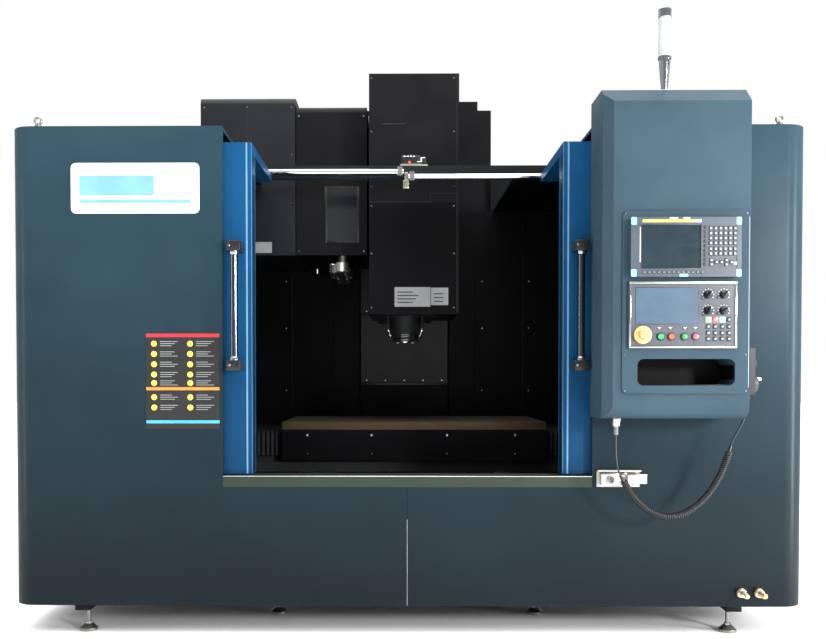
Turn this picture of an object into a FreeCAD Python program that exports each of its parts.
"""Vertical machining centre with a sliding-door enclosure, as separate pieces at real size.

Millimetres. +X to the operator's right, +Y to the back, +Z up. The origin is on the floor,
at the middle of the machine's footprint. Every size is a cell of the sheet "Sizes".
"""
import FreeCAD, Part

import math
import os
import re
import Sketcher

from FreeCAD import Placement, Rotation, Vector

SIZES = {
    # enclosure
    "half_width": 1710,
    "front_y": -1200,
    "sheet": 30,
    "seam": 1.5,
    "sheet_bottom": 127,
    "sheet_top": 2180,
    "corner_radius": 100,
    "corner_return": 150,
    "opening_half": 790,
    "opening_bottom": 639,
    "sill_top": 686,
    "sill_depth": 120,
    "rear_wall_y": 700,
    "wall": 6,
    "roof_sheet": 15,
    # doors
    "door_rest": 670,
    "door_overlap": 35,
    "door_setback": 40,
    "door_depth": 100,
    "door_skin": 4,
    "door_frame": 34,
    "door_bottom": 690,
    "door_top": 2080,
    "door_roof": 40,
    "door_roof_back": -560,
    "stile": 127,
    "window_bottom": 1150,
    "window_top": 1950,
    "window_width": 480,
    "glass": 8,
    "guide_rod_radius": 15,
    "guide_rod_y": -530,
    "left_rod_z": 2136,
    "right_rod_z": 2112,
    "rod_middle_gap": 12,
    "rod_end": 1600,
    "beam_y": -500,
    "beam_depth": 60,
    "beam_height": 60,
    "handle_radius": 16,
    "handle_low": 1137,
    "handle_high": 1689,
    "handle_standoff": 60,
    "handle_inset": 66,
    "hanger_width": 60,
    "hanger_inset": 120,
    # castings and ways
    "base_half": 650,
    "base_front": -900,
    "base_back": 1360,
    "base_bottom": 150,
    "base_top": 520,
    "base_trough": 90,
    "trough_floor": 400,
    "core_wall": 100,
    "core_depth": 150,
    "column_half": 560,
    "column_face": 760,
    "column_back": 1360,
    "column_top": 2826,
    "column_slot": 95,
    "slot_depth": 130,
    "rail_width": 45,
    "rail_height": 40,
    "y_rail_x": 420,
    "z_rail_x": 230,
    "z_rail_low": 900,
    "z_rail_high": 2780,
    "x_rail_y": 200,
    "carriage_length": 150,
    "carriage_width": 110,
    "running_gap": 0.4,
    "part_gap": 0.3,
    "screw_radius": 20,
    "screw_fit": 0.05,
    # saddle and table
    "saddle_y": 50,
    "saddle_half": 300,
    "saddle_reach": 1050,
    "saddle_bottom": 600,
    "saddle_top": 735,
    "saddle_wing": 1630,
    "saddle_trough": 70,
    "x_screw_z": 712,
    "y_screw_z": 462,
    "z_screw_y": 805,
    "table_x": 45,
    "table_half_x": 700,
    "table_half_y": 350,
    "table_bottom": 789,
    "table_top": 869,
    "slot_width": 18,
    "slot_foot": 30,
    "slot_neck": 26,
    "slot_foot_height": 13,
    "slot_pitch": 125,
    "skirt_bottom": 667,
    "cover_top": 824,
    "cover_bottom": 690,
    "cover_skin": 10,
    # head
    "spindle_y": -50,
    "nose_bottom": 1307,
    "nose_radius": 73,
    "shaft_radius": 50,
    "bore_mouth": 70,
    "taper_length": 110,
    "head_bottom": 1442,
    "head_half": 160,
    "head_front": -240,
    "head_back": 640,
    "neck_bottom": 1860,
    "neck_top": 2240,
    "cover_left": -193,
    "cover_right": 282,
    "cover_front": -300,
    "cover_back": 300,
    "hood_top": 2704,
    "hood_skin": 5,
    # way covers in front of the column
    "z_cover_half": 275,
    "z_cover_y": 664,
    "z_cover_first": 1300,
    "z_cover_second": 1055,
    "z_cover_second_top": 1700,
    "z_cover_third": 1495,
    # tool changer
    "magazine_left": -1126,
    "magazine_right": -605,
    "magazine_front": -100,
    "magazine_back": 690,
    "magazine_bottom": 1779,
    "magazine_top": 2647,
    "magazine_skin": 5,
    "magazine_bevel": 40,
    "cam_left": -600,
    "cam_right": -211,
    "cam_back": 540,
    "disc_radius": 340,
    "disc_thickness": 30,
    "pocket_radius": 34,
    "pocket_length": 150,
    "disc_y": 295,
    "disc_z": 2213,
    "disc_x": -720,
    "disc_shaft": 30,
    "arm_x": -350,
    "arm_half": 300,
    "arm_bottom": 1660,
    "arm_thickness": 45,
    "arm_shaft": 35,
    "arm_depth": 250,
    # operator cabinet
    "desk_left": 779,
    "desk_right": 1358,
    "desk_front": -1449,
    "desk_bottom": 943,
    "desk_top": 2264,
    "desk_skin": 5,
    "desk_bevel": 60,
    "desk_chamfer": 37,
    "fascia_left": 850,
    "fascia_right": 1351,
    "fascia_bottom": 1044,
    "fascia_top": 1770,
    "fascia": 6,
    "screen_left": 875,
    "screen_right": 1308,
    "screen_bottom": 1505,
    "screen_top": 1739,
    "screen_depth": 30,
    "screen_corner": 25,
    "keys_left": 872,
    "keys_right": 1302,
    "keys_bottom": 1224,
    "keys_top": 1490,
    "keys_depth": 8,
    "pocket_left": 911,
    "pocket_right": 1298,
    "pocket_bottom": 1077,
    "pocket_top": 1183,
    "pocket_depth": 170,
    "pocket_skin": 3,
    "pocket_corner": 25,
    "stop_x": 929,
    "stop_z": 1278,
    "stop_radius": 20,
    "stop_collar": 33,
    "stop_travel": 5,
    "button_z": 1271,
    "green_x": 999,
    "red_x": 1041,
    "lamp_x": 1092,
    "fault_x": 1136,
    "button_radius": 11,
    "bezel_radius": 15,
    "bezel_depth": 4,
    "cap_depth": 8,
    "stem": 5,
    "stem_depth": 5,
    "dial_x": 1186,
    "dial_z": 1437,
    "dial_pitch_x": 62,
    "dial_pitch_z": 63,
    "dial_depth": 16,
    "button_travel": 4,
    "dial_radius": 13,
    "tower_x": 1042,
    "tower_y": -1350,
    "tower_height": 343,
    # hand wheel box
    "box_y": -1370,
    "box_half": 40,
    "box_bottom": 1035,
    "box_top": 1235,
    "box_depth": 34,
    "box_corner": 12,
    "wheel_z": 1081,
    "wheel_radius": 31,
    "wheel_depth": 18,
    "knob_z": 1166,
    "lead_diameter": 7,
    "coil_diameter": 30,
    "gland_x": 843,
    "gland_y": -1390,
    "gland_length": 70,
    # bottom and back
    "foot_x": 1400,
    "foot_y": -1120,
    "rear_foot_y": 500,
    "foot_radius": 38.5,
    "foot_height": 28,
    "stem_radius": 9,
    "bracket_drop": 20,
    "pan_half": 1636,
    "pan_front": -1060,
    "pan_bottom": 380,
    "pan_top": 560,
    "power_half": 550,
    "power_bottom": 700,
    "power_top": 2000,
    "power_back": 1462,
    "power_skin": 4,
    "power_door": 8,
    "machine_back": 1500,
    "eye_x": 1580,
    "hose_z": 190,
    "hose_x": 1425,
    "hose_pitch": 75,
    "clamp_left": 808,
    "clamp_right": 991,
    "clamp_bottom": 642,
    "clamp_top": 716,
}

POCKETS = 24

doc = FreeCAD.newDocument("machining_centre")
sheet = doc.addObject("Spreadsheet::Sheet", "Sizes")
for row, (alias, number) in enumerate(SIZES.items(), start=1):
    sheet.set(f"A{row}", str(number))
    sheet.setAlias(f"A{row}", alias)
doc.recompute()

SHEET_WORDS = {alias: f"Sizes.{alias}" for alias in SIZES}
LYING_X = Rotation(Vector(0, 1, 0), 90)
LYING_Y = Rotation(Vector(1, 0, 0), -90)
UPRIGHT = Rotation()
TURNS = {"x": LYING_X, "y": LYING_Y, "z": UPRIGHT}
finished = {}


def size(alias):
    """The value that a cell of the sheet holds now."""
    return float(sheet.get(alias))


def bound(text):
    """The expression with the sheet's name in front of each alias."""
    return re.sub(r"[a-z_]+", lambda word: SHEET_WORDS.get(word.group(0), word.group(0)), str(text))


def tie(thing, prop, text):
    thing.setExpression(prop, bound(text))


def put(thing, x, y, z):
    for letter, text in zip("xyz", (x, y, z)):
        tie(thing, f"Placement.Base.{letter}", text)


def block(x, y, z):
    """A box from three spans, each a pair of expressions for its low and high side."""
    box = doc.addObject("Part::Box", "block")
    for prop, (low, high) in zip(("Length", "Width", "Height"), (x, y, z)):
        tie(box, prop, f"({high}) - ({low})")
    put(box, x[0], y[0], z[0])
    return box


def rod(axis, start, length, radius):
    """A round bar from its start point along a positive axis."""
    bar = doc.addObject("Part::Cylinder", "rod")
    bar.Placement = Placement(Vector(), TURNS[axis])
    tie(bar, "Radius", radius)
    tie(bar, "Height", length)
    put(bar, *start)
    return bar


def taper(axis, start, length, radius, end_radius):
    """A round bar whose radius changes from its start to its end."""
    cone = doc.addObject("Part::Cone", "taper")
    cone.Placement = Placement(Vector(), TURNS[axis])
    tie(cone, "Radius1", radius)
    tie(cone, "Radius2", end_radius)
    tie(cone, "Height", length)
    put(cone, *start)
    return cone


def ring(centre, radius, wire, turn=UPRIGHT):
    torus = doc.addObject("Part::Torus", "ring")
    torus.Placement = Placement(Vector(), turn)
    tie(torus, "Radius1", radius)
    tie(torus, "Radius2", wire)
    put(torus, *centre)
    return torus


def joined(*pieces):
    """One solid from pieces that meet."""
    if len(pieces) == 1:
        return pieces[0]
    fusion = doc.addObject("Part::MultiFuse", "joined")
    fusion.Shapes = list(pieces)
    fusion.Refine = True
    return fusion


def less(base, *tools):
    """The base with the tools cut away."""
    cut = doc.addObject("Part::Cut", "less")
    cut.Base = base
    cut.Tool = joined(*tools)
    cut.Refine = True
    return cut


def together(*pieces):
    """Separate solids that share one node."""
    bundle = doc.addObject("Part::Compound", "together")
    bundle.Links = list(pieces)
    return bundle


def finish(node, piece):
    """Give a finished piece its name."""
    piece.Label = node
    finished[node] = piece
    return piece


def lines_up(edge, direction):
    return edge.Curve.TypeId == "Part::GeomLine" and abs(abs(edge.Curve.Direction.dot(direction)) - 1) < 1e-6


def rounded(base, direction, places, radius):
    """The base with the edges along a direction rounded where they pass near the given points."""
    doc.recompute()
    picked = []
    for number, edge in enumerate(base.Shape.Edges, start=1):
        if not lines_up(edge, direction):
            continue
        middle = edge.CenterOfMass
        across = [middle - direction * middle.dot(direction) - place for place in places]
        if min(gap.Length for gap in across) < 0.01:
            picked.append((number, number_of(radius), number_of(radius)))
    soft = doc.addObject("Part::Fillet", "rounded")
    soft.Base = base
    soft.Edges = picked
    return soft


def outline(body, plane, points):
    """A closed sketch of straight sides on one of the body's own planes."""
    sketch = body.newObject("Sketcher::SketchObject", "outline")
    role = {"XY": "XY_Plane", "XZ": "XZ_Plane", "YZ": "YZ_Plane"}[plane]
    sketch.AttachmentSupport = [(next(f for f in body.Origin.OriginFeatures if f.Role == role), "")]
    sketch.MapMode = "FlatFace"
    corners = [Vector(number_of(u), number_of(v), 0) for u, v in points]
    count = len(points)
    for index in range(count):
        line = Part.LineSegment(corners[index], corners[(index + 1) % count])
        sketch.addGeometry(line, False)
    for index in range(count):
        sketch.addConstraint(Sketcher.Constraint("Coincident", index, 2, (index + 1) % count, 1))
    for index, (u, v) in enumerate(points):
        for kind, text in (("DistanceX", u), ("DistanceY", v)):
            number = sketch.addConstraint(Sketcher.Constraint(kind, index, 1, number_of(text)))
            tie(sketch, f"Constraints[{number}]", text)
    return sketch


def number_of(text):
    """The value of an expression over the sheet's cells."""
    return float(sheet.evalExpression(bound(text)))


def padded(plane, points, length, reverse=False):
    """A body made by padding an outline."""
    body = doc.addObject("PartDesign::Body", "body")
    pad = body.newObject("PartDesign::Pad", "pad")
    pad.Profile = outline(body, plane, points)
    tie(pad, "Length", length)
    pad.Reversed = reverse
    body.Tip = pad
    return body


def turned(points):
    """A body turned about Z from an outline of radius and height."""
    body = doc.addObject("PartDesign::Body", "body")
    spin = body.newObject("PartDesign::Revolution", "spin")
    sketch = outline(body, "XZ", points)
    spin.Profile = sketch
    spin.ReferenceAxis = (sketch, ["V_Axis"])
    spin.Angle = 360
    body.Tip = spin
    return body


def aimed(body, turn, x, y, z):
    """Place a body by its own origin."""
    body.Placement = Placement(Vector(), turn)
    put(body, x, y, z)
    return body


# ---- castings, ways and drives ----

def base_casting():
    bed = block(("-base_half", "base_half"), ("base_front", "base_back"), ("base_bottom", "base_top"))
    trough = block(("-base_trough", "base_trough"), ("base_front - 10", "column_face"),
                   ("trough_floor", "base_top + 10"))
    cores = []
    for side in (-1, 1):
        for start in ("base_front + core_wall", "(base_front + base_back + core_wall) / 2"):
            cores.append(block(sorted_span(side, "base_trough + core_wall / 2", "base_half - core_wall"),
                               (start, f"{start} + (base_back - base_front - 3 * core_wall) / 2"),
                               ("base_bottom - 10", "base_bottom + core_depth")))
    return finish("base_casting", less(bed, trough, *cores))


def levelling_feet():
    """Pads and studs under the bed and under the sheet-metal frame."""
    places = []
    for side in (-1, 1):
        places += [(f"{side} * foot_x", y, "sheet_bottom - bracket_drop") for y in ("foot_y", "rear_foot_y")]
        places += [(f"{side} * (base_half - 50)", y, "base_bottom")
                   for y in ("base_front + 60", "base_back - 60")]
    feet = []
    for x, y, top in places:
        foot = turned([(0, 0), ("foot_radius", 0), ("foot_radius", 10), ("foot_radius / 2", "foot_height"),
                       ("stem_radius", "foot_height"), ("stem_radius", top), (0, top)])
        feet.append(aimed(foot, UPRIGHT, x, y, 0))
    height = ("sheet_bottom - bracket_drop", "sheet_bottom")
    for side in (-1, 1):
        feet.append(block(sorted_span(side, "foot_x - 30", "foot_x + 30"),
                          ("front_y + 5", "foot_y + 40"), height))
        feet.append(block(sorted_span(side, "foot_x - 30", "half_width - 5"),
                          ("rear_foot_y - 40", "rear_foot_y + 40"), height))
    return finish("levelling_feet", together(*feet))


def column():
    tower = block(("-column_half", "column_half"), ("column_face", "column_back"), ("base_top", "column_top"))
    slot = block(("-column_slot", "column_slot"), ("column_face - 10", "column_face + slot_depth"),
                 ("base_top + 80", "column_top + 10"))
    core = block(("-column_half + 60", "column_half - 60"),
                 ("column_face + slot_depth + 60", "column_back - 60"),
                 ("base_top + 60", "column_top - 60"))
    crown = block((190, "column_half - 85"), ("column_face + 20", "column_face + 320"),
                  ("column_top", "column_top + 63"))
    return finish("column", joined(less(tower, slot, core), crown))


def guide_rails():
    rails = []
    for side in (-1, 1):
        x = f"{side} * y_rail_x"
        rails.append(block((f"{x} - rail_width / 2", f"{x} + rail_width / 2"),
                           ("base_front + 30", "column_face - 5"),
                           ("base_top", "base_top + rail_height")))
        x = f"{side} * z_rail_x"
        rails.append(block((f"{x} - rail_width / 2", f"{x} + rail_width / 2"),
                           ("column_face - rail_height", "column_face"), ("z_rail_low", "z_rail_high")))
    return finish("guide_rails", together(*rails))


def y_carriage(x, y):
    """A carriage that straddles a rail of the bed."""
    body = block((f"{x} - carriage_width / 2", f"{x} + carriage_width / 2"),
                 (f"{y} - carriage_length / 2", f"{y} + carriage_length / 2"),
                 ("base_top + 8", "saddle_bottom"))
    groove = block((f"{x} - rail_width / 2 - running_gap", f"{x} + rail_width / 2 + running_gap"),
                   (f"{y} - carriage_length", f"{y} + carriage_length"),
                   ("base_top", "base_top + rail_height + running_gap"))
    return less(body, groove)


def x_carriage(x, y):
    """A carriage that straddles a rail of the saddle."""
    body = block((f"{x} - carriage_length / 2", f"{x} + carriage_length / 2"),
                 (f"{y} - carriage_width / 2", f"{y} + carriage_width / 2"),
                 ("saddle_top + 5", "table_bottom"))
    groove = block((f"{x} - carriage_length", f"{x} + carriage_length"),
                   (f"{y} - rail_width / 2 - running_gap", f"{y} + rail_width / 2 + running_gap"),
                   ("saddle_top", "saddle_top + rail_height + running_gap"))
    return less(body, groove)


def z_carriage(x, z):
    """A carriage that straddles a rail of the column."""
    body = block((f"{x} - carriage_width / 2", f"{x} + carriage_width / 2"), ("head_back", "column_face - 8"),
                 (f"{z} - carriage_length / 2", f"{z} + carriage_length / 2"))
    groove = block((f"{x} - rail_width / 2 - running_gap", f"{x} + rail_width / 2 + running_gap"),
                   ("column_face - rail_height - running_gap", "column_face"),
                   (f"{z} - carriage_length", f"{z} + carriage_length"))
    return less(body, groove)


def saddle():
    """Saddle with its rails, wings that carry the way covers, carriages, X motor and Y nut."""
    front, back = "saddle_y - saddle_half", "saddle_y + saddle_half"
    core = block(("-saddle_reach", "saddle_reach"), (front, back), ("saddle_bottom", "saddle_top"))
    trough = block(("-saddle_reach - 10", "saddle_reach + 10"),
                   ("saddle_y - saddle_trough", "saddle_y + saddle_trough"),
                   ("saddle_bottom + 45", "saddle_top + 10"))
    wings = block(("-saddle_wing", "saddle_wing"), (front, back),
                  ("saddle_bottom + 20", "saddle_bottom + 40"))
    ends = [block(sorted_span(side, "saddle_wing - 6", "saddle_wing"), (front, back),
                  ("saddle_bottom + 20", "cover_top - cover_skin")) for side in (-1, 1)]
    blocks = [block((x, f"{x} + 60"), ("saddle_y - saddle_trough", "saddle_y + saddle_trough"),
                    ("saddle_bottom + 45", "saddle_top + 30"))
              for x in ("-saddle_reach", "saddle_reach - 60")]
    bore = rod("x", ("-saddle_reach - 10", "saddle_y", "x_screw_z"), "2 * saddle_reach + 20",
               "screw_radius + screw_fit")
    nut = block((-45, 45), ("saddle_y - 60", "saddle_y + 60"), ("y_screw_z - 45", "saddle_bottom"))
    nut_bore = rod("y", (0, "saddle_y - 70", "y_screw_z"), 140, "screw_radius + screw_fit")
    body = less(joined(less(core, trough), wings, *ends, *blocks, nut), bore, nut_bore)
    rails = [block(("-saddle_reach + 5", "saddle_reach - 5"),
                   (f"saddle_y + {side} * x_rail_y - rail_width / 2",
                    f"saddle_y + {side} * x_rail_y + rail_width / 2"),
                   ("saddle_top", "saddle_top + rail_height")) for side in (-1, 1)]
    carriages = [y_carriage(f"{x} * y_rail_x", f"saddle_y + {y} * 200") for x in (-1, 1) for y in (-1, 1)]
    motor = block(("saddle_reach", "saddle_reach + 240"), ("saddle_y - 65", "saddle_y + 65"),
                  ("x_screw_z - 65", "x_screw_z + 65"))
    return finish("saddle", together(body, *rails, *carriages, motor))


def sorted_span(side, near, far):
    """The span between two distances from the middle, on the side given by 1 or -1."""
    return (near, far) if side > 0 else (f"-({far})", f"-({near})")


def table():
    """Table with T-slots, its carriages and the nut of the X screw."""
    left, right = "table_x - table_half_x", "table_x + table_half_x"
    front, back = "saddle_y - table_half_y", "saddle_y + table_half_y"
    plate = block((left, right), (front, back), ("table_bottom", "table_top"))
    slots = []
    for number in range(-2, 3):
        y = f"saddle_y + {number} * slot_pitch"
        slots.append(block((f"{left} - 10", f"{right} + 10"),
                           (f"{y} - slot_width / 2", f"{y} + slot_width / 2"),
                           ("table_top - slot_neck", "table_top + 10")))
        slots.append(block((f"{left} - 10", f"{right} + 10"),
                           (f"{y} - slot_foot / 2", f"{y} + slot_foot / 2"),
                           ("table_top - slot_neck - slot_foot_height", "table_top - slot_neck")))
    skirt = block((left, right), (f"{front} - 8", front), ("skirt_bottom", "table_top - 30"))
    nut = block(("table_x - 60", "table_x + 60"), ("saddle_y - 45", "saddle_y + 45"),
                ("x_screw_z - 40", "table_bottom"))
    bore = rod("x", ("table_x - 70", "saddle_y", "x_screw_z"), 140, "screw_radius + screw_fit")
    body = less(joined(plate, skirt, nut), *slots, bore)
    carriages = [x_carriage(f"table_x + {x} * 450", f"saddle_y + {y} * x_rail_y")
                 for x in (-1, 1) for y in (-1, 1)]
    return finish("table", together(body, *carriages))


def screws():
    """Ball screws: the Y screw lies in the bed, the X screw in the saddle, the Z screw in the column."""
    finish("x_screw", rod("x", ("-saddle_reach + 5", "saddle_y", "x_screw_z"), "2 * saddle_reach - 10",
                          "screw_radius"))
    finish("y_screw", rod("y", (0, "base_front + 40", "y_screw_z"), "column_face - base_front - 60",
                          "screw_radius"))
    finish("z_screw", rod("z", (0, "z_screw_y", "base_top + 120"), "column_top - base_top - 360",
                          "screw_radius"))


def axis_motors():
    """Y motor at the front of the bed and Z motor in the top of the column, with their end bearings."""
    y_motor = block((-65, 65), ("base_front - 130", "base_front + 40"), ("trough_floor", "y_screw_z + 45"))
    y_end = block((-60, 60), ("column_face - 20", "column_face"), ("trough_floor", "y_screw_z + 45"))
    z_motor = block((-75, 75), ("z_screw_y - 60", "column_face + slot_depth"),
                    ("column_top - 240", "column_top + 20"))
    z_end = block((-70, 70), ("z_screw_y - 40", "column_face + slot_depth"),
                  ("base_top + 80", "base_top + 120"))
    return finish("axis_motors", together(y_motor, y_end, z_motor, z_end))


# ---- head and spindle ----

def head_casting():
    """Head with its neck to the carriages, the Z nut and the spindle cartridge."""
    front = block(("-head_half", "head_half"), ("head_front", "head_back - 60"), ("head_bottom", "neck_top"))
    neck = block(("-head_half - 120", "head_half + 120"), ("head_back - 60", "head_back"),
                 ("neck_bottom", "neck_top"))
    nut = block((-50, 50), ("head_back", "z_screw_y + 45"), ("neck_bottom + 130", "neck_bottom + 230"))
    nut_bore = rod("z", (0, "z_screw_y", "neck_bottom + 120"), 120, "screw_radius + screw_fit")
    cartridge = turned([(0, 0), ("nose_radius", 0), ("nose_radius", 20), ("nose_radius + 8", 30),
                        ("nose_radius + 12", "head_bottom - nose_bottom"),
                        (0, "head_bottom - nose_bottom")])
    aimed(cartridge, UPRIGHT, 0, "spindle_y", "nose_bottom")
    shaft_way = rod("z", (0, "spindle_y", "nose_bottom - 10"), "neck_top - nose_bottom + 20",
                    "shaft_radius + screw_fit")
    posts = [rod("z", (f"{side} * (nose_radius + 22)", "spindle_y - 30", "head_bottom - 70"), 80, 7)
             for side in (-1, 1)]
    body = less(joined(front, neck, nut, *posts), nut_bore, shaft_way)
    carriages = [z_carriage(f"{x} * z_rail_x", z) for x in (-1, 1)
                 for z in ("neck_bottom + 80", "neck_top - 80")]
    return finish("head_casting", together(body, less(cartridge, shaft_way), *carriages))


def spindle_shaft():
    """Hollow spindle with a steep taper for the tool holder."""
    shaft = turned([("bore_mouth / 7", "taper_length"), ("bore_mouth / 2", -6), ("shaft_radius", -6),
                    ("shaft_radius", "neck_top - nose_bottom - 30"),
                    ("bore_mouth / 7", "neck_top - nose_bottom - 30")])
    return finish("spindle_shaft", aimed(shaft, UPRIGHT, 0, "spindle_y", "nose_bottom"))


def spindle_motor():
    motor = rod("z", (0, "spindle_y", "neck_top"), 300, 120)
    flange = block((-140, 140), ("spindle_y - 140", "spindle_y + 140"), ("neck_top", "neck_top + 25"))
    return finish("spindle_motor", joined(motor, flange))


def head_cover():
    """Sheet-metal hood round the head, open at the back and round the spindle."""
    skin = "hood_skin"
    outer = block(("cover_left", "cover_right"), ("cover_front", "cover_back"), ("head_bottom", "hood_top"))
    inner = block((f"cover_left + {skin}", f"cover_right - {skin}"),
                  (f"cover_front + {skin}", "cover_back + 10"),
                  (f"head_bottom + {skin}", f"hood_top - {skin}"))
    floor_way = block(("-head_half - part_gap", "head_half + part_gap"),
                      ("head_front - part_gap", "cover_back + 10"),
                      ("head_bottom - 10", f"head_bottom + {skin} + 10"))
    stays = [block(span, ("head_front + 120", "head_front + 200"), ("head_bottom + 300", "head_bottom + 340"))
             for span in ((f"cover_left + {skin}", "-head_half"), ("head_half", f"cover_right - {skin}"))]
    return finish("head_cover", joined(less(outer, inner, floor_way), *stays))


def z_covers():
    """Three overlapping steel plates in front of the column ways."""
    def plate(step, low, high):
        y = f"z_cover_y + {step} * (wall + part_gap)"
        return block(("-z_cover_half", "z_cover_half"), (y, f"{y} + wall"), (low, high))
    third = plate(0, "z_cover_third", "neck_bottom")
    shelf = block(("-head_half - 100", "head_half + 100"), ("head_back - 60", "z_cover_y"),
                  ("neck_bottom - 30", "neck_bottom"))
    finish("z_cover_upper", joined(third, shelf))
    finish("z_cover_middle", plate(1, "z_cover_second", "z_cover_second_top"))
    return plate(2, "base_top", "z_cover_first")


# ---- enclosure ----

def front_panel(side):
    """Front sheet of one side, folded back round the outer corner, with its half of the doorway."""
    inner = f"{side} * seam / 2"
    outer, lining = f"{side} * half_width", f"{side} * (half_width - sheet)"
    back = "front_y + corner_return"
    points = [(inner, "front_y"), (outer, "front_y"), (outer, back), (lining, back),
              (lining, "front_y + sheet"), (inner, "front_y + sheet")]
    body = padded("XY", points, "sheet_top - sheet_bottom")
    aimed(body, UPRIGHT, 0, 0, "sheet_bottom")
    up = Vector(0, 0, 1)
    soft = rounded(body, up, [Vector(number_of(outer), size("front_y"), 0)], "corner_radius")
    soft = rounded(soft, up, [Vector(number_of(lining), number_of("front_y + sheet"), 0)],
                   "corner_radius - sheet")
    doorway = block(sorted_span(side, "-10", "opening_half"), ("front_y - 10", "front_y + sheet + 10"),
                    ("opening_bottom", "sheet_top + 10"))
    return less(soft, doorway)


def front_panels():
    finish("front_left_panel", front_panel(-1))
    finish("front_right_panel", front_panel(1))


def side_panels():
    sides = [block(sorted_span(side, "half_width - sheet", "half_width"),
                   ("front_y + corner_return", "rear_wall_y + 40"), ("sheet_bottom", "sheet_top"))
             for side in (-1, 1)]
    return finish("side_panels", together(*sides))


def roof_panels():
    """Roof sheets beside the doorway and the beam that carries the door rods."""
    inside = "half_width - sheet"
    height = ("sheet_top - roof_sheet", "sheet_top")
    behind = ("beam_y + beam_depth", "rear_wall_y + wall")
    sheets = []
    for side in (-1, 1):
        strip = block(sorted_span(side, "opening_half", "half_width - corner_radius"),
                      ("front_y + sheet", "front_y + corner_radius"), height)
        wide = block(sorted_span(side, "opening_half", inside), ("front_y + corner_radius", "beam_y"), height)
        sheets.append(joined(strip, wide))
    sheets.append(block(("column_half + 10", inside), behind, height))
    sheets.append(block((f"-({inside})", "magazine_left - 10"), behind, height))
    sheets.append(block(("magazine_left - 10", "-opening_half"),
                        ("beam_y + beam_depth", "magazine_front - 10"), height))
    beam = block((f"-({inside})", inside), ("beam_y", "beam_y + beam_depth"),
                 ("sheet_top - 5 - beam_height", "sheet_top - 5"))
    return finish("roof_panels", together(*sheets, beam))


def door_guide_rods():
    """Two round rods with their brackets, and the interlock switch at the middle of the beam."""
    pieces = []
    for side, height in ((-1, "left_rod_z"), (1, "right_rod_z")):
        low, _ = sorted_span(side, "rod_middle_gap", "rod_end")
        pieces.append(rod("x", (low, "guide_rod_y", height), "rod_end - rod_middle_gap", "guide_rod_radius"))
        for near, far in (("rod_middle_gap + 6", "rod_middle_gap + 30"), ("rod_end - 30", "rod_end - 6")):
            bracket = block(sorted_span(side, near, far), ("guide_rod_y - 24", "beam_y"),
                            (f"{height} - 22", f"{height} + 22"))
            start = sorted_span(side, near, far)[0] + " - 1"
            bore = rod("x", (start, "guide_rod_y", height), 26, "guide_rod_radius")
            pieces.append(less(bracket, bore))
    switch_foot = block((-30, 110), ("beam_y", "beam_y + 40"), ("sheet_top - 5", "sheet_top + 2"))
    switch_body = block((-20, 70), ("beam_y", "beam_y + 34"), ("sheet_top + 2", "sheet_top + 45"))
    switch_head = block((70, 100), ("beam_y + 2", "beam_y + 32"), ("sheet_top + 10", "sheet_top + 38"))
    tongue = block((-14, 14), ("beam_y - 8", "beam_y"),
                   ("sheet_top - 60 - beam_height", "sheet_top - 20 - beam_height"))
    tongue_arm = block((-6, 10), ("beam_y - 8", "beam_y"),
                       ("sheet_top - 20 - beam_height", "sheet_top - beam_height + 20"))
    switch = joined(switch_foot, switch_body, switch_head)
    return finish("door_guide_rods", together(*pieces, switch, joined(tongue, tongue_arm)))


def door_sill():
    sill = block(("-opening_half", "opening_half"), ("front_y", "front_y + sill_depth"),
                 ("opening_bottom", "sill_top"))
    groove = block(("-opening_half - 1", "opening_half + 1"), ("front_y + 60", "front_y + 100"),
                   ("sill_top - 12", "sill_top + 1"))
    return finish("door_sill", less(sill, groove))


def door(side, name, rod_z):
    """A door leaf with its roof part, window, pull handle and two blocks on the guide rod."""
    near, far = "door_rest", "door_rest + opening_half + door_overlap"
    front, back = "front_y + door_setback", "front_y + door_setback + door_depth"
    leaf = block(sorted_span(side, near, far), (front, back), ("door_bottom", "door_top + door_roof"))
    hollow_span = sorted_span(side, f"{near} + stile", f"{far} - door_frame")
    hollow = block(hollow_span, (f"{front} + door_skin", f"{back} + 1"),
                   ("door_bottom + door_frame", "door_top - door_frame"))
    middle = f"({hollow_span[0]} + ({hollow_span[1]})) / 2"
    window_span = (f"{middle} - window_width / 2", f"{middle} + window_width / 2")
    window = block(window_span, (f"{front} - 1", f"{front} + door_skin + 1"), ("window_bottom", "window_top"))
    canopy = block(sorted_span(side, near, far), (front, "door_roof_back"),
                   ("door_top", "door_top + door_roof"))
    hangers, bores = [], []
    for place in (f"{near} + hanger_inset", f"{far} - hanger_inset - hanger_width"):
        span = sorted_span(side, place, f"{place} + hanger_width")
        hangers.append(block(span, ("door_roof_back", "guide_rod_y + 25"), ("door_top", f"{rod_z} + 25")))
        bores.append(rod("x", (f"{span[0]} - 1", "guide_rod_y", rod_z), "hanger_width + 2",
                         "guide_rod_radius + screw_fit"))
    finish(f"{name}_door", less(joined(leaf, canopy, *hangers), hollow, window, *bores))
    glass_span = (f"{window_span[0]} - 20", f"{window_span[1]} + 20")
    finish(f"{name}_window", block(glass_span, (f"{front} + door_skin", f"{front} + door_skin + glass"),
                                   ("window_bottom - 20", "window_top + 20")))
    handle_x = f"{side} * (door_rest + handle_inset)"
    handle_y = f"{front} - handle_standoff"
    ends = [block((f"{handle_x} - 30", f"{handle_x} + 30"), (f"{handle_y} - 24", front), (z, f"{z} + 45"))
            for z in ("handle_low", "handle_high - 45")]
    grip = rod("z", (handle_x, handle_y, "handle_low + 45"), "handle_high - handle_low - 90", "handle_radius")
    finish(f"{name}_handle", together(grip, *ends))


def doors():
    door(-1, "left", "left_rod_z")
    door(1, "right", "right_rod_z")


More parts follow.
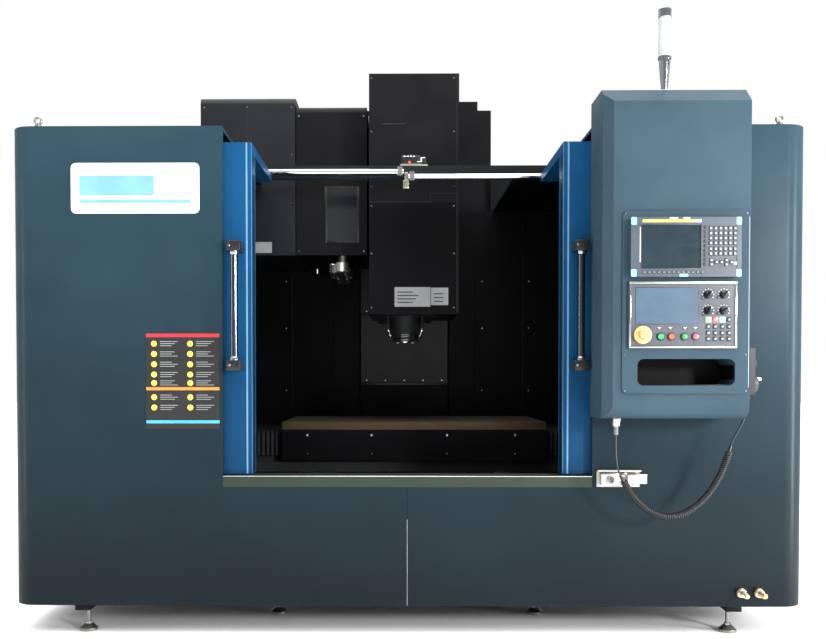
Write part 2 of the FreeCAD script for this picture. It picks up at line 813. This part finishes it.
def splash_walls(cover):
    """Back walls beside the column ways with a fold each, and the fixed way cover."""
    y = ("rear_wall_y", "rear_wall_y + wall")
    inside = "half_width - sheet"
    right = block(("z_cover_half + 15", inside), y, ("pan_top", "sheet_top - roof_sheet"))
    left = block((f"-({inside})", "-z_cover_half - 15"), y, ("pan_top", "magazine_bottom - 9"))
    corner = block((f"-({inside})", "magazine_left - 10"), y, ("magazine_bottom - 9", "sheet_top - roof_sheet"))
    folds = [block((x, f"{x} + 40"), ("rear_wall_y - 30", "rear_wall_y"),
                   ("pan_top", "magazine_bottom - 9"))
             for x in ("z_cover_half + 180", "-z_cover_half - 220")]
    return finish("splash_walls", together(joined(right, folds[0]), joined(left, corner, folds[1]), cover))


def chip_pan():
    """Folded pan round the bed that catches chips and coolant."""
    outer = block(("-pan_half", "pan_half"), ("pan_front", "rear_wall_y + wall"), ("pan_bottom", "pan_top"))
    inner = block(("-pan_half + wall", "pan_half - wall"), ("pan_front + wall", "rear_wall_y"),
                  ("pan_bottom + wall", "pan_top + 1"))
    bed = block(("-base_half", "base_half"), ("base_front", "base_back"), ("base_bottom", "pan_top + 2"))
    lips = [block(sorted_span(side, "pan_half", "half_width - sheet"), ("pan_front", "rear_wall_y + wall"),
                  ("pan_top - wall", "pan_top")) for side in (-1, 1)]
    return finish("chip_pan", joined(less(outer, inner, bed), *lips))


def lifting_eyes():
    eyes = []
    for side in (-1, 1):
        x, y = f"{side} * eye_x", "front_y + sheet / 2"
        stem = rod("z", (x, y, "sheet_top"), 14, 8)
        eyes.append(joined(stem, ring((x, y, "sheet_top + 26"), 14, 5, LYING_Y)))
    return finish("lifting_eyes", together(*eyes))


def hose_couplings():
    """Two tapered hose tails with their nuts on the front sheet."""
    pieces = []
    for number in range(2):
        x = f"hose_x + {number} * hose_pitch"
        tail = taper("y", (x, "front_y - 80", "hose_z"), 40, 9, 12)
        neck = rod("y", (x, "front_y - 40", "hose_z"), 40, 14)
        nut = rod("y", (x, "front_y - 14", "hose_z"), 14, 20)
        pieces.append(joined(tail, neck, nut))
    return finish("hose_couplings", together(*pieces))


def holder_bracket():
    """Folded plate under the operator cabinet with two clamping blocks."""
    width = ("clamp_left", "clamp_right")
    plate = block(width, ("front_y - 6", "front_y"), ("clamp_bottom", "clamp_top"))
    lip = block(width, ("front_y - 36", "front_y - 6"), ("clamp_top - 6", "clamp_top"))
    left = block(("clamp_left + 12", "clamp_left + 91"), ("front_y - 40", "front_y - 6"),
                 ("clamp_bottom + 10", "clamp_top - 14"))
    right = block(("clamp_right - 60", "clamp_right + 20"), ("front_y - 46", "front_y - 6"),
                  ("clamp_bottom + 18", "clamp_top - 16"))
    screw = rod("y", ("clamp_left + 50", "front_y - 52", "clamp_bottom + 35"), 12, 14)
    return finish("holder_bracket", joined(plate, lip, left, right, screw))


# ---- tool changer ----

def magazine_cover():
    skin = "magazine_skin"
    outer = block(("magazine_left", "magazine_right"), ("magazine_front", "magazine_back"),
                  ("magazine_bottom", "magazine_top"))
    along = Vector(1, 0, 0)
    soft = rounded(outer, along, [Vector(0, size("magazine_front"), size("magazine_top"))], "magazine_bevel")
    inner = block((f"magazine_left + {skin}", "magazine_right + 1"),
                  (f"magazine_front + {skin}", f"magazine_back - {skin}"),
                  (f"magazine_bottom + {skin}", f"magazine_top - magazine_bevel"))
    return finish("magazine_cover", less(soft, inner))


def cam_box():
    """Gear case of the tool changer, bolted to the column, with the magazine's stub shaft."""
    case = block(("cam_left", "cam_right"), ("magazine_front", "cam_back"),
                 ("magazine_bottom", "magazine_top - 50"))
    along = Vector(1, 0, 0)
    top = Vector(0, size("magazine_front"), number_of("magazine_top - 50"))
    soft = rounded(case, along, [top], "magazine_bevel")
    arm = block(("-column_half + 5", "-column_half + 240"), ("cam_back", "column_face"),
                ("magazine_bottom + 80", "magazine_bottom + 600"))
    lug = block(("magazine_right", "cam_left"), ("magazine_front + 60", "cam_back - 60"),
                ("magazine_bottom", "magazine_bottom + 60"))
    shaft = rod("x", ("disc_x - 60", "disc_y", "disc_z"), "cam_left - disc_x + 60", "disc_shaft")
    bore = rod("z", ("arm_x", "spindle_y", "magazine_bottom - 1"), "arm_depth + 20", "arm_shaft + screw_fit")
    return finish("cam_box", less(joined(soft, arm, lug, shaft), bore))


def magazine_disc():
    """Disc with a ring of tool pockets."""
    disc = rod("x", ("disc_x", "disc_y", "disc_z"), "disc_thickness", "disc_radius + 20")
    hub = rod("x", ("disc_x - 50", "disc_y", "disc_z"), "disc_thickness + 70", "disc_shaft + 25")
    pockets = []
    for number in range(POCKETS):
        angle = number * 360 / POCKETS
        y = f"disc_y + disc_radius * {math.cos(math.radians(angle)):.6f}"
        z = f"disc_z + disc_radius * {math.sin(math.radians(angle)):.6f}"
        pocket = rod("x", ("disc_x - pocket_length", y, z), "pocket_length", "pocket_radius")
        pockets.append(less(pocket, taper("x", ("disc_x - pocket_length - 1", y, z), "pocket_length - 20",
                                          "pocket_radius - 6", "pocket_radius - 18")))
    bore = rod("x", ("disc_x - 60", "disc_y", "disc_z"), "disc_thickness + 100", "disc_shaft + screw_fit")
    return finish("magazine_disc", together(less(joined(disc, hub), bore), *pockets))


def tool_arm():
    """Double gripper arm under the cam box, parked along Y."""
    bar = block(("arm_x - 35", "arm_x + 35"), ("spindle_y - arm_half", "spindle_y + arm_half"),
                ("arm_bottom", "arm_bottom + arm_thickness"))
    hub = rod("z", ("arm_x", "spindle_y", "arm_bottom"), "arm_thickness", 65)
    shaft = rod("z", ("arm_x", "spindle_y", "arm_bottom + arm_thickness"),
                "magazine_bottom - arm_bottom - arm_thickness + arm_depth - 120", "arm_shaft")
    heads = [rod("z", ("arm_x", f"spindle_y + {end} * (arm_half - 30)", "arm_bottom"), "arm_thickness", 50)
             for end in (-1, 1)]
    jaws = [rod("z", (f"arm_x + {end} * 22", f"spindle_y + {end} * (arm_half - 12)", "arm_bottom - 1"),
                "arm_thickness + 2", 32) for end in (-1, 1)]
    return finish("tool_arm", less(joined(bar, hub, shaft, *heads), *jaws))


# ---- operator cabinet ----

def storage_pocket(low_y, high_y, grow):
    """The space of the storage pocket, grown by a wall on each side."""
    space = block((f"pocket_left - {grow}", f"pocket_right + {grow}"), (low_y, high_y),
                  (f"pocket_bottom - {grow}", f"pocket_top + {grow}"))
    along = Vector(0, 1, 0)
    corners = [Vector(number_of(x), 0, number_of(z))
               for x in (f"pocket_left - {grow}", f"pocket_right + {grow}")
               for z in (f"pocket_bottom - {grow}", f"pocket_top + {grow}")]
    return rounded(space, along, corners, f"pocket_corner + {grow}")


def operator_cabinet():
    """Sheet-metal cabinet with a rounded lower edge, fascia plate, storage pocket and cable gland."""
    side = [("desk_front", "desk_bottom"), ("front_y", "desk_bottom"), ("front_y", "desk_top"),
            ("desk_front + desk_bevel", "desk_top"), ("desk_front", "desk_top - desk_bevel")]
    outer = padded("YZ", side, "desk_right - desk_left")
    aimed(outer, UPRIGHT, "desk_left", 0, 0)
    along = Vector(1, 0, 0)
    soft = rounded(outer, along, [Vector(0, size("desk_front"), size("desk_bottom"))], "desk_bevel")
    triangle = [("desk_left - 1", "desk_front - 1"), ("desk_left + desk_chamfer", "desk_front - 1"),
                ("desk_left - 1", "desk_front + desk_chamfer")]
    corner = padded("XY", triangle, "desk_top + 10")
    inner = block(("desk_left + desk_chamfer", "desk_right - desk_skin"),
                  ("desk_front + desk_skin", "front_y + 1"),
                  ("desk_bottom + desk_bevel", "desk_top - desk_bevel"))
    front = "desk_front - fascia"
    recess = storage_pocket("desk_front - 1", "desk_front + pocket_depth", 0)
    liner = storage_pocket("desk_front", "desk_front + pocket_depth + pocket_skin", "pocket_skin")
    shell = less(joined(less(soft, corner, inner), liner), recess)
    plate = block(("fascia_left", "fascia_right"), (front, "desk_front"), ("fascia_bottom", "fascia_top"))
    corners = [Vector(size(x), 0, size(z)) for x in ("fascia_left", "fascia_right")
               for z in ("fascia_bottom", "fascia_top")]
    plate = less(rounded(plate, Vector(0, 1, 0), corners, "pocket_corner"),
                 storage_pocket(f"{front} - 1", "desk_front + 1", 0))
    gland = joined(rod("z", ("gland_x", "gland_y", "desk_bottom - 22"), 22, 15),
                   taper("z", ("gland_x", "gland_y", "desk_bottom - gland_length"), "gland_length - 22", 6, 11))
    return finish("operator_cabinet", together(shell, plate, gland))


def nc_unit():
    """Display and key unit with rounded corners and a sunk screen."""
    y = "desk_front - fascia"
    face = f"{y} - screen_depth"
    body = block(("screen_left", "screen_right"), (face, y), ("screen_bottom", "screen_top"))
    corners = [Vector(size(x), 0, size(z)) for x in ("screen_left", "screen_right")
               for z in ("screen_bottom", "screen_top")]
    soft = rounded(body, Vector(0, 1, 0), corners, "screen_corner")
    glass = block(("screen_left + 40", "screen_left + 274"), (f"{face} - 1", f"{face} + 4"),
                  ("screen_bottom + 33", "screen_top - 31"))
    keys = block(("screen_left + 283", "screen_right - 18"), (f"{face} - 1", f"{face} + 2"),
                 ("screen_bottom + 35", "screen_top - 34"))
    return finish("nc_unit", less(soft, glass, keys))


PANEL_FRONT = "desk_front - fascia - keys_depth"
DIALS = [(column, row) for row in range(2) for column in range(2)]


def dial_place(column, row):
    return f"dial_x + {column} * dial_pitch_x", f"dial_z - {row} * dial_pitch_z"


def operator_panel():
    """Key panel with a raised frame, bezels, two lamps and a collar for the stop button."""
    back = "desk_front - fascia"
    plate = block(("keys_left", "keys_right"), (PANEL_FRONT, back), ("keys_bottom", "keys_top"))
    rim_outer = block(("keys_left", "keys_right"), (f"{PANEL_FRONT} - 3", PANEL_FRONT),
                      ("keys_bottom", "keys_top"))
    rim_inner = block(("keys_left + 10", "keys_right - 10"), (f"{PANEL_FRONT} - 4", PANEL_FRONT),
                      ("keys_bottom + 10", "keys_top - 10"))
    collar = rod("y", ("stop_x", f"{PANEL_FRONT} - 3", "stop_z"), 3, "stop_collar")
    bezels = [rod("y", (x, f"{PANEL_FRONT} - bezel_depth", "button_z"), "bezel_depth", "bezel_radius")
              for x in ("green_x", "red_x", "lamp_x", "fault_x")]
    lenses = [rod("y", (x, f"{PANEL_FRONT} - bezel_depth - 5", "button_z"), 6, "button_radius")
              for x in ("lamp_x", "fault_x")]
    wells = [rod("y", (x, f"{PANEL_FRONT} - bezel_depth - 1", "button_z"), "bezel_depth + button_travel + 2",
                 "button_radius + part_gap") for x in ("green_x", "red_x")]
    holes = [rod("y", (x, f"{PANEL_FRONT} - 10", z), "keys_depth + 20", "stem + screw_fit")
             for x, z in [("green_x", "button_z"), ("red_x", "button_z"), ("stop_x", "stop_z")]
             + [dial_place(*dial) for dial in DIALS]]
    body = joined(plate, less(rim_outer, rim_inner), collar, *bezels, *lenses)
    return finish("operator_panel", less(body, *wells, *holes))


def push_button(node, x):
    y = f"{PANEL_FRONT} - bezel_depth"
    cap = rod("y", (x, f"{y} - cap_depth + 2", "button_z"), "cap_depth", "button_radius")
    stem = rod("y", (x, f"{y} + 2", "button_z"), "stem_depth", "stem")
    return finish(node, joined(cap, stem))


def controls():
    """Everything on the key panel that a hand moves."""
    push_button("start_button", "green_x")
    push_button("stop_button", "red_x")
    y = f"{PANEL_FRONT} - 3 - stop_travel - 2"
    head = rod("y", ("stop_x", "-machine_back", "stop_z"), f"{y} + machine_back", "stop_radius")
    stem = rod("y", ("stop_x", y, "stop_z"), "stop_travel + 8", "stem")
    finish("emergency_stop", joined(head, stem))
    for number, (column, row) in enumerate(DIALS, start=1):
        x, z = dial_place(column, row)
        skirt = rod("y", (x, f"{PANEL_FRONT} - 5", z), "5 - part_gap", "dial_radius + 4")
        grip = rod("y", (x, f"{PANEL_FRONT} - dial_depth", z), "dial_depth - 5", "dial_radius")
        shaft = rod("y", (x, f"{PANEL_FRONT} - part_gap", z), "stem_depth", "stem")
        finish(f"selector_{number}", joined(skirt, grip, shaft))


def signal_tower():
    """Stack lamp on the cabinet: foot, tapered lower part, lens tube and cap."""
    points = [(0, 0), (25, 0), (25, 8), (13, 12), (23, 120), (23, 135), (26, 135), (26, 145), (24.5, 145),
              (24.5, "tower_height - 40"), (26, "tower_height - 40"), (26, "tower_height - 8"),
              (20, "tower_height"), (0, "tower_height")]
    return finish("signal_tower", aimed(turned(points), UPRIGHT, "tower_x", "tower_y", "desk_top"))


def hand_wheel_box():
    """Hand wheel box held on the side of the cabinet."""
    holder = block(("desk_right", "desk_right + 4"), ("box_y - box_half + 8", "box_y + box_half - 8"),
                   ("box_bottom + 30", "box_top - 40"))
    body = block(("desk_right + 4", "desk_right + 4 + box_depth"), ("box_y - box_half", "box_y + box_half"),
                 ("box_bottom", "box_top"))
    corners = [Vector(0, number_of(y), size(z)) for y in ("box_y - box_half", "box_y + box_half")
               for z in ("box_bottom", "box_top")]
    soft = rounded(body, Vector(1, 0, 0), corners, "box_corner")
    pin_hole = rod("x", ("desk_right + 4 + box_depth - 14", "box_y", "wheel_z"), 20, "stem + screw_fit")
    knob_hole = rod("x", ("desk_right + 4 + box_depth - 14", "box_y", "knob_z"), 20, "stem + screw_fit")
    face = "desk_right + 4 + box_depth"
    selector = rod("x", (face, "box_y", "knob_z + 45"), 12, 9)
    finish("hand_wheel_box", joined(less(soft, pin_hole, knob_hole), holder, selector))
    disc = rod("x", (f"{face} + part_gap", "box_y", "wheel_z"), "wheel_depth", "wheel_radius")
    shaft = rod("x", (f"{face} - 12", "box_y", "wheel_z"), 14, "stem")
    crank = rod("x", (f"{face} + wheel_depth", "box_y", "wheel_z + wheel_radius - 9"), 24, 6)
    finish("hand_wheel", joined(disc, shaft, crank))
    cap = rod("x", (f"{face} + part_gap", "box_y", "knob_z"), 15, "dial_radius")
    pointer = block((f"{face} + 15", f"{face} + 21"), ("box_y - 3", "box_y + 3"),
                    ("knob_z - dial_radius + 1", "knob_z + dial_radius - 1"))
    shaft = rod("x", (f"{face} - 12", "box_y", "knob_z"), 14, "stem")
    finish("axis_knob", joined(cap, pointer, shaft))


# ---- electrical cabinet ----

def power_cabinet():
    """Electrical cabinet on the back of the column, with hinge barrels and a mounting plate."""
    skin = "power_skin"
    outer = block(("-power_half", "power_half"), ("column_back", "power_back"),
                  ("power_bottom", "power_top"))
    inner = block((f"-power_half + {skin}", f"power_half - {skin}"),
                  (f"column_back + {skin}", "power_back + 1"),
                  (f"power_bottom + {skin}", f"power_top - {skin}"))
    rack = block(("-power_half + 60", "power_half - 60"),
                 (f"column_back + {skin}", f"column_back + {skin} + 30"),
                 ("power_bottom + 100", "power_top - 100"))
    barrels, pins = [], []
    for z in HINGES:
        barrels.append(rod("z", ("-power_half - 8", "power_back", z), 40, 8))
        pins.append(rod("z", ("-power_half - 8", "power_back", f"{z} + 40"), 40, 4))
    return finish("power_cabinet", joined(less(outer, inner), rack, *barrels, *pins))


HINGES = ("power_bottom + 150", "power_top - 230")


def power_door():
    """Door of the electrical cabinet with its hinge barrels."""
    low = "power_back + part_gap"
    leaf = block(("-power_half", "power_half"), (low, f"{low} + power_door"), ("power_bottom", "power_top"))
    barrels, bores = [], []
    for z in HINGES:
        barrels.append(rod("z", ("-power_half - 8", "power_back", f"{z} + 40 + part_gap"),
                           "40 - part_gap", 8))
        bores.append(rod("z", ("-power_half - 8", "power_back", f"{z} + 30"), 60, "4 + screw_fit"))
    straps = [block(("-power_half - 8", "-power_half + 40"), (low, f"{low} + power_door"),
                    (f"{z} + 40 + part_gap", f"{z} + 80")) for z in HINGES]
    switch_hole = rod("y", ("power_half - 150", f"{low} - 1", "power_top - 400"), "power_door + 2",
                      "stem + screw_fit")
    relief = [block(("-power_half - 1", "-power_half + 12"), (f"{low} - 1", f"{low} + power_door + 1"),
                    (f"{z} - 1", f"{z} + 40 + part_gap")) for z in HINGES]
    finish("power_door", less(joined(leaf, *straps, *barrels), *bores, switch_hole, *relief))
    face = f"{low} + power_door"
    plate = rod("y", ("power_half - 150", f"{face} + part_gap", "power_top - 400"), 8, 32)
    grip = block(("power_half - 158", "power_half - 142"), (f"{face} + 8", "machine_back"),
                 ("power_top - 428", "power_top - 372"))
    stem = rod("y", ("power_half - 150", f"{face} - 6", "power_top - 400"), 10, "stem")
    finish("main_switch", joined(plate, grip, stem))


# ---- way covers ----

def way_covers():
    """Folded covers that stretch beside the table and in front of the saddle."""
    skin = "cover_skin"
    front, back = "saddle_y - saddle_half - 30", "saddle_y + saddle_half + 30"
    for node, span in (("x_cover_left", ("-saddle_wing + 6", "table_x - table_half_x")),
                       ("x_cover_right", ("table_x + table_half_x", "saddle_wing - 6"))):
        outer = block(span, (front, back), ("cover_bottom", "cover_top"))
        inner = block((f"{span[0]} - 1", f"{span[1]} + 1"), (f"{front} + {skin}", f"{back} - {skin}"),
                      ("cover_bottom - 1", f"cover_top - {skin}"))
        finish(node, less(outer, inner))
    span = ("base_front + 2", "saddle_y - saddle_half")
    outer = block(("-base_half + 60", "base_half - 60"), span, ("base_top", "saddle_bottom - 5"))
    inner = block(("-base_half + 70", "base_half - 70"), (f"{span[0]} - 1", f"{span[1]} + 1"),
                  ("base_top - 1", f"saddle_bottom - 5 - {skin}"))
    return finish("y_cover", less(outer, inner))


# ---- hand wheel cord ----

LOWER_LEAD = [(843, -1390, 873), (843, -1390, 824), (846, -1387, 774), (855.9, -1382.1, 724.6),
              (876, -1378, 690)]
COIL = [(876, -1378, 690), (905, -1372, 640), (948, -1366, 592), (1000, -1362, 553), (1062, -1360, 536),
        (1126, -1360, 548), (1180, -1361, 582), (1226, -1363, 630), (1262, -1366, 686), (1290, -1368, 748),
        (1310, -1369, 812)]
UPPER_LEAD = [(1310, -1369, 812), (1325.5, -1369.8, 861.6), (1352, -1370, 905), (1373, -1370, 952),
              (1380, -1370, 997), (1380, -1370, 1035)]


def tube(route, diameter):
    """A round tube along straight runs joined by tangent arcs, each as large as its runs allow."""
    points = [Vector(*place) for place in route]
    edges, here, radii = [], points[0], []
    for before, corner, after in zip(points, points[1:], points[2:]):
        arriving, leaving = (corner - before), (after - corner)
        shorter = min(arriving.Length, leaving.Length)
        arriving.normalize()
        leaving.normalize()
        half_turn = arriving.getAngle(leaving) / 2
        radius = 0.45 * shorter / math.tan(half_turn)
        start = corner - arriving * (0.45 * shorter)
        end = corner + leaving * (0.45 * shorter)
        inward = leaving - arriving
        inward.normalize()
        middle = corner + inward * (radius / math.cos(half_turn) - radius)
        edges.append(Part.LineSegment(here, start).toShape())
        edges.append(Part.Arc(start, middle, end).toShape())
        here = end
        radii.append(round(radius))
    edges.append(Part.LineSegment(here, points[-1]).toShape())
    path = Part.Wire(edges)
    first = points[1] - points[0]
    section = Part.Wire(Part.Circle(points[0], first, diameter / 2).toShape())
    solid = path.makePipeShell([section], True, False)
    expected = math.pi * diameter ** 2 / 4 * path.Length
    print(f"tube of {diameter:.0f} mm: {path.Length:.0f} mm long, radii {radii}, "
          f"volume {solid.Volume / expected:.4f} of section by length")
    return solid


def cord():
    for node, route, diameter in (("cord_lower_lead", LOWER_LEAD, "lead_diameter"),
                                  ("cord_coil", COIL, "coil_diameter"),
                                  ("cord_upper_lead", UPPER_LEAD, "lead_diameter")):
        feature = doc.addObject("Part::Feature", "tube")
        feature.Shape = tube(route, size(diameter))
        finish(node, feature)


def check(objects):
    """Stop if any object failed to build."""
    failed = [thing.Label for thing in objects if {"Invalid", "Error"} & set(thing.State)]
    if failed:
        raise RuntimeError(f"not built: {failed}")
    for node, piece in finished.items():
        if piece.Shape.isNull() or not piece.Shape.isValid() or not piece.Shape.Solids:
            raise RuntimeError(f"{node} has no valid shape")


def build():
    base_casting()
    levelling_feet()
    column()
    guide_rails()
    saddle()
    table()
    screws()
    axis_motors()
    head_casting()
    spindle_shaft()
    spindle_motor()
    head_cover()
    splash_walls(z_covers())
    front_panels()
    side_panels()
    roof_panels()
    door_guide_rods()
    door_sill()
    doors()
    chip_pan()
    lifting_eyes()
    hose_couplings()
    holder_bracket()
    magazine_cover()
    cam_box()
    magazine_disc()
    tool_arm()
    operator_cabinet()
    nc_unit()
    operator_panel()
    controls()
    signal_tower()
    hand_wheel_box()
    power_cabinet()
    power_door()
    way_covers()
    cord()
    doc.recompute()
    check(doc.Objects)


def export():
    os.makedirs("parts", exist_ok=True)
    for node, piece in finished.items():
        piece.Shape.exportStep(f"parts/{node}.step")
    print(len(finished), "pieces written")


build()
export()
